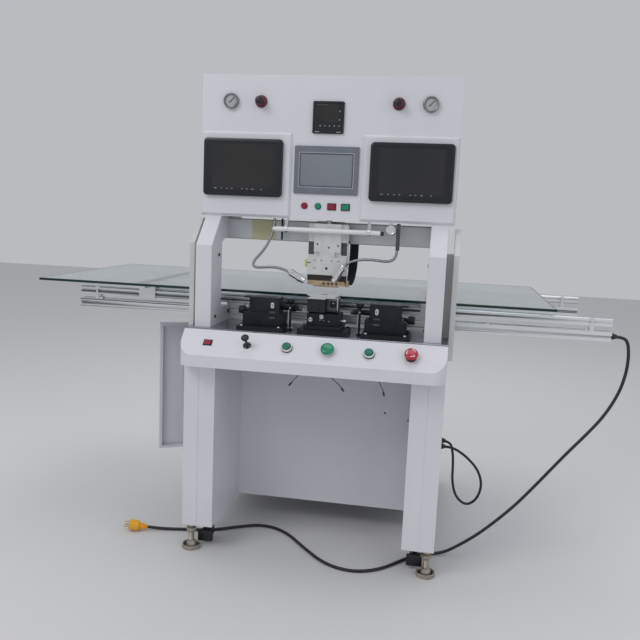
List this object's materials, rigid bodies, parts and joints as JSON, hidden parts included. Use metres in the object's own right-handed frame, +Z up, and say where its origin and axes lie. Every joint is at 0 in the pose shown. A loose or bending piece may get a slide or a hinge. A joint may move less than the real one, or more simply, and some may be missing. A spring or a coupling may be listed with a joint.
{
  "type": "film bonding machine",
  "caption": "Floor-standing hot-bar bonding machine: pressing head under a cabinet of screens, sliding glass table, camera stages and a sloping control console.",
  "frame": {"origin": "middle of the whole width and depth without the cords, on the floor", "axes": "+X to the operator's right along the glass, +Y from the operator to the back, +Z up"},
  "size_m": [1.9533, 0.972, 1.516],
  "materials": {
    "body_paint": "satin powder coat",
    "white_paint": "satin powder coat",
    "black_steel": "black oxide",
    "aluminium": "anodised",
    "steel": "brushed",
    "chrome": "polished",
    "brass": "machined",
    "insulation": "matt laminate",
    "black_plastic": "matt",
    "grey_plastic": "matt",
    "white_plastic": "gloss",
    "red_plastic": "gloss",
    "green_plastic": "gloss",
    "orange_plastic": "gloss",
    "glass": "clear, ground edges",
    "cord_rubber": "matt"
  },
  "bodies": {
    "machine": {"left_pedestal": "body_paint", "right_pedestal": "body_paint", "knee_panel": "body_paint", "base_back_cover": "body_paint", "deck_plate": "steel", "console_shell": "body_paint", "posts": "body_paint", "side_plates": "white_paint", "head_cabinet": "body_paint", "front_panel": "body_paint", "monitors": "black_plastic", "touch_screen": "grey_plastic", "temperature_controller": "black_plastic", "pressure_gauges": "chrome", "control_bezels": "white_plastic", "cross_beam": "body_paint", "work_lamp": "white_plastic", "head_guide": "steel", "left_gooseneck": "steel", "right_gooseneck": "steel", "guide_rails": "aluminium", "rail_beams": "aluminium", "rail_brackets": "aluminium", "stage_bases": "black_steel", "levelling_feet": "steel", "caster_forks": "black_steel", "cord_glands": "black_plastic", "mains_lead": "cord_rubber", "mains_plug": "orange_plastic", "hose_loop": "cord_rubber", "hanging_wires": "black_plastic"},
    "glass_table": {"carriages": "aluminium", "glass_platform": "glass"},
    "press_head": {"head_slide": "aluminium", "insulator_block": "insulation", "heater_block": "brass", "head_cable": "cord_rubber"},
    "door": {"side_door": "body_paint", "door_lock": "chrome"},
    "stop_head": {"emergency_stop": "red_plastic"},
    "mushroom_head": {"mushroom_button": "green_plastic"},
    "left_start_cap": {"left_start_button": "green_plastic"},
    "right_start_cap": {"right_start_button": "green_plastic"},
    "stick_gimbal": {"joystick_gimbal": "steel"},
    "stick": {"joystick": "black_plastic", "joystick_stem": "steel"},
    "console_tip": {"console_rocker": "red_plastic"},
    "red_cap": {"red_push_button": "red_plastic"},
    "green_cap": {"green_push_button": "green_plastic"},
    "red_tip": {"red_rocker": "red_plastic"},
    "green_tip": {"green_rocker": "green_plastic"},
    "left_knob": {"left_regulator_knob": "black_plastic"},
    "right_knob": {"right_regulator_knob": "black_plastic"},
    "left_needle": {"left_gauge_needle": "steel"},
    "right_needle": {"right_gauge_needle": "steel"},
    "left_stage": {"left_camera_stage": "black_steel"},
    "right_stage": {"right_camera_stage": "black_steel"},
    "bar": {"support_bar": "white_plastic"},
    "front_wheels": {"front_caster_wheels": "black_plastic"},
    "rear_wheels": {"rear_caster_wheels": "black_plastic"}
  },
  "joints": [
    {"name": "glass_slide", "type": "slide", "parent": "machine", "child": "glass_table", "axis": [1, 0, 0], "range_m": [-0.133, 0.44]},
    {"name": "head_press", "type": "slide", "parent": "machine", "child": "press_head", "axis": [0, 0, 1], "range_m": [-0.019, 0]},
    {"name": "door_hinge", "type": "hinge", "parent": "machine", "child": "door", "pos_m": [-0.3695, 0.039, 0.457], "axis": [0, 0, 1], "range_deg": [-50, 60]},
    {"name": "emergency_stop_press", "type": "slide", "parent": "machine", "child": "stop_head", "axis": [0, -0.6816, 0.7317], "range_m": [-0.004, 0]},
    {"name": "mushroom_press", "type": "slide", "parent": "machine", "child": "mushroom_head", "axis": [0, -0.6816, 0.7317], "range_m": [-0.005, 0], "stiffness_N_per_m": 400, "springref_m": 0.003},
    {"name": "left_start_press", "type": "slide", "parent": "machine", "child": "left_start_cap", "axis": [0, -0.6816, 0.7317], "range_m": [-0.003, 0], "stiffness_N_per_m": 400, "springref_m": 0.002},
    {"name": "right_start_press", "type": "slide", "parent": "machine", "child": "right_start_cap", "axis": [0, -0.6816, 0.7317], "range_m": [-0.003, 0], "stiffness_N_per_m": 400, "springref_m": 0.002},
    {"name": "stick_fore_aft", "type": "hinge", "parent": "machine", "child": "stick_gimbal", "pos_m": [-0.1531, -0.44132, 0.69022], "axis": [1, 0, 0], "range_deg": [-10, 10], "stiffness_Nm_per_rad": 0.8},
    {"name": "stick_sideways", "type": "hinge", "parent": "stick_gimbal", "child": "stick", "pos_m": [-0.1531, -0.44132, 0.69022], "axis": [0, 0.7317, 0.6816], "range_deg": [-10, 10], "stiffness_Nm_per_rad": 0.8},
    {"name": "console_rocker_tip", "type": "hinge", "parent": "machine", "child": "console_tip", "pos_m": [-0.2765, -0.4495, 0.699], "axis": [0, 0.7317, 0.6816], "range_deg": [-8, 8]},
    {"name": "red_button_press", "type": "slide", "parent": "machine", "child": "red_cap", "axis": [0, 1, 0], "range_m": [0, 0.003], "stiffness_N_per_m": 300, "springref_m": -0.001},
    {"name": "green_button_press", "type": "slide", "parent": "machine", "child": "green_cap", "axis": [0, 1, 0], "range_m": [0, 0.003], "stiffness_N_per_m": 300, "springref_m": -0.001},
    {"name": "red_rocker_tip", "type": "hinge", "parent": "machine", "child": "red_tip", "pos_m": [0.062, -0.294, 1.124], "axis": [0, 0, 1], "range_deg": [-8, 8]},
    {"name": "green_rocker_tip", "type": "hinge", "parent": "machine", "child": "green_tip", "pos_m": [0.105, -0.294, 1.124], "axis": [0, 0, 1], "range_deg": [-8, 8]},
    {"name": "left_regulator_turn", "type": "hinge", "parent": "machine", "child": "left_knob", "pos_m": [-0.1715, -0.294, 1.436], "axis": [0, -1, 0], "range_deg": [-720, 720]},
    {"name": "right_regulator_turn", "type": "hinge", "parent": "machine", "child": "right_knob", "pos_m": [0.2525, -0.294, 1.436], "axis": [0, -1, 0], "range_deg": [-720, 720]},
    {"name": "left_needle_swing", "type": "hinge", "parent": "machine", "child": "left_needle", "pos_m": [-0.2665, -0.301, 1.436], "axis": [0, 1, 0], "range_deg": [-180, 90], "stiffness_Nm_per_rad": 0.0008},
    {"name": "right_needle_swing", "type": "hinge", "parent": "machine", "child": "right_needle", "pos_m": [0.3475, -0.301, 1.436], "axis": [0, 1, 0], "range_deg": [-180, 90], "stiffness_Nm_per_rad": 0.0008},
    {"name": "left_stage_feed", "type": "slide", "parent": "machine", "child": "left_stage", "axis": [1, 0, 0], "range_m": [-0.0065, 0.0065]},
    {"name": "right_stage_feed", "type": "slide", "parent": "machine", "child": "right_stage", "axis": [1, 0, 0], "range_m": [-0.0065, 0.0065]},
    {"name": "support_bar_height", "type": "slide", "parent": "machine", "child": "bar", "axis": [0, 0, 1], "range_m": [-0.004, 0]},
    {"name": "front_wheel_roll", "type": "hinge", "parent": "machine", "child": "front_wheels", "pos_m": [0.0405, -0.306, 0.027], "axis": [1, 0, 0], "continuous": true},
    {"name": "rear_wheel_roll", "type": "hinge", "parent": "machine", "child": "rear_wheels", "pos_m": [0.0405, 0.385, 0.027], "axis": [1, 0, 0], "continuous": true}
  ]
}
